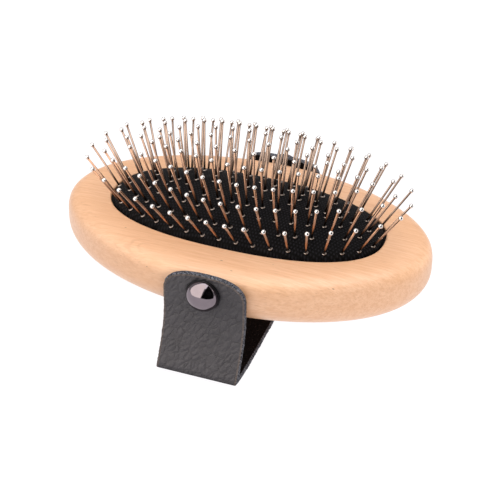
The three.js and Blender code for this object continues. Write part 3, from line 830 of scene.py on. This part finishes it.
def screw_profile():
    """Pointed shank with rings for its thread, and a low rounded head."""
    under = STRAP_FACE + 2 * FASTENER_GAP + WASHER_THICKNESS
    start, root = SCREW_TIP + POINT_LENGTH, SHANK_RADIUS - THREAD_DEPTH
    profile = [(0, SCREW_TIP), (0.3, SCREW_TIP + 0.2), (root, start)]
    for turn in range(THREAD_TURNS):
        level = start + turn * THREAD_PITCH
        profile += [(SHANK_RADIUS, level + 0.25), (root, level + 0.55), (root, level + 0.95)]
    profile += [(SHANK_RADIUS, start + THREAD_TURNS * THREAD_PITCH + 0.4), (SHANK_RADIUS, under)]
    top = under + HEAD_HEIGHT
    profile += [*rounded(HEAD_RADIUS, under, top, HEAD_ROUND), (0, top)]
    return profile


def fasteners(cap_metal, black_steel):
    for side, word in ((-1, "front"), (1, "rear")):
        fastener(f"{word}_dome_cap", cap_profile(), cap_metal, "cap_metal", side, f"{word}_strap_cap")
        fastener(f"{word}_screw", screw_profile(), black_steel, "black_steel", side,
                 f"{word}_strap_screw", SCREW_SIDES)
        points, faces = stood(washer_part(), (0, 0, SCREW_HEIGHT), (0, side, 0))
        piece = make_piece(f"{word}_black_washer", points, faces, [black_steel])
        finished(piece, "brush", "black_steel", f"{word}_strap_washer")


# ---- studio ----

def studio():
    """A light table in a pale tent. Two boards and a dark card are seen only in polished metal."""
    scene = bpy.context.scene
    scene.view_settings.view_transform = "Standard"
    world = bpy.data.worlds.new("light_tent")
    scene.world = world
    world.use_nodes = True
    world.node_tree.nodes["Background"].inputs["Color"].default_value = rgb(1.0, 0.99, 0.985)
    world.node_tree.nodes["Background"].inputs["Strength"].default_value = TENT_LIGHT
    soft_box("top_light", (0.05, 0.05, 0.75), (0, 0, 0), 0.8, 5.0)
    soft_box("left_light", (-0.7, -0.35, 0.45), (0, 0, 0), 0.6, 1.2)
    soft_box("right_light", (0.6, -0.5, 0.4), (0, 0, 0), 0.5, 1.4)
    light_table()
    board("left_board", LEFT_BOARD, board_material("lit_board", 2.9))
    board("right_board", RIGHT_BOARD, board_material("lit_board_right", 2.0))
    board("dark_card", DARK_CARD, board_material("dark_cloth", 0.0))


def soft_box(name, place, aim, size, power):
    light = bpy.data.lights.new(name, "AREA")
    light.size = size
    light.energy = power
    lamp = bpy.data.objects.new(name, light)
    bpy.context.scene.collection.objects.link(lamp)
    lamp.location = place
    lamp.rotation_euler = (Vector(aim) - Vector(place)).to_track_quat("-Z", "Y").to_euler()


def light_table():
    s = Shader("pale_floor", 0.9)
    tone = s.noise(s.place((0.02, 0.02, 0.02)), detail=2.0)
    color = s.mix(tone, rgb(0.11, 0.11, 0.11), rgb(0.13, 0.13, 0.13))
    s.fix("Specular IOR Level", 0.0)
    s.fix("Emission Color", rgb(1.0, 0.98, 1.0))
    s.fix("Emission Strength", TABLE_LIGHT)
    material = s.set(color=color)
    reach = 3000
    points = [(-reach, -reach, FLOOR_LEVEL), (reach, -reach, FLOOR_LEVEL),
              (reach, reach, FLOOR_LEVEL), (-reach, reach, FLOOR_LEVEL)]
    make_piece("floor", points, [(0, 1, 2, 3)], [material])


def board_material(name, strength):
    """Cloth that glows with a strength, or is black."""
    s = Shader(name, 1.0)
    weave = s.noise(s.place((0.05, 0.05, 0.05)), detail=2.0)
    s.fix("Specular IOR Level", 0.0)
    s.fix("Emission Color", rgb(1.0, 0.95, 0.87))
    s.fix("Emission Strength", strength)
    return s.set(color=s.mix(weave, rgb(0.005, 0.005, 0.005), rgb(0.01, 0.01, 0.01)))


def board(name, corners, material):
    made = make_piece(name, corners, [tuple(range(len(corners)))], [material])
    made.visible_camera = False
    made.visible_diffuse = False
    made.visible_shadow = False


def photo_camera():
    azimuth, elevation, roll = (math.radians(angle) for angle in (19.643, 33.895, 0.527))
    distance, target = 0.4855, Vector((0, 0, BODY_THICKNESS * MM))
    back = Vector((math.sin(azimuth) * math.cos(elevation), -math.cos(azimuth) * math.cos(elevation),
                   math.sin(elevation)))
    right = Vector((math.cos(azimuth), math.sin(azimuth), 0))
    up = back.cross(right)
    right, up = (right * math.cos(roll) + up * math.sin(roll), up * math.cos(roll) - right * math.sin(roll))
    camera = bpy.data.objects.new("camera", bpy.data.cameras.new("camera"))
    bpy.context.scene.collection.objects.link(camera)
    turn = Matrix((right, up, back)).transposed().to_4x4()
    camera.matrix_world = Matrix.Translation(target + back * distance) @ turn
    camera.data.sensor_width = 36.0
    camera.data.lens = 102.44
    camera.data.shift_x = 0.0073
    camera.data.shift_y = -0.0737
    camera.data.clip_start = 0.01
    bpy.context.scene.camera = camera


# ---- assembly ----

photo_camera()
studio()
wood_body(beech_material())
cushion_fabric(weave_material())
rubber_cushion(rubber_material())
pin_rings([
    wire_material(),
    steel_material("pin_ball", rgb(0.74, 0.71, 0.70), rgb(0.66, 0.63, 0.62), 0.22),
    steel_material("pin_collar", rgb(0.46, 0.39, 0.355), rgb(0.36, 0.30, 0.27), 0.28),
])
hand_strap([
    leather_material(),
    suede_material("edge_line", rgb(0.10, 0.082, 0.076), rgb(0.20, 0.165, 0.15)),
    suede_material("cut_edge", rgb(0.018, 0.018, 0.021), rgb(0.24, 0.245, 0.28)),
    suede_material("suede_side", rgb(0.0026, 0.002, 0.0023), rgb(0.013, 0.0105, 0.0115)),
])
fasteners(
    steel_material("gunmetal", rgb(0.215, 0.18, 0.20), rgb(0.20, 0.168, 0.187), 0.06),
    steel_material("black_steel", rgb(0.012, 0.012, 0.013), rgb(0.022, 0.021, 0.023), 0.45),
)
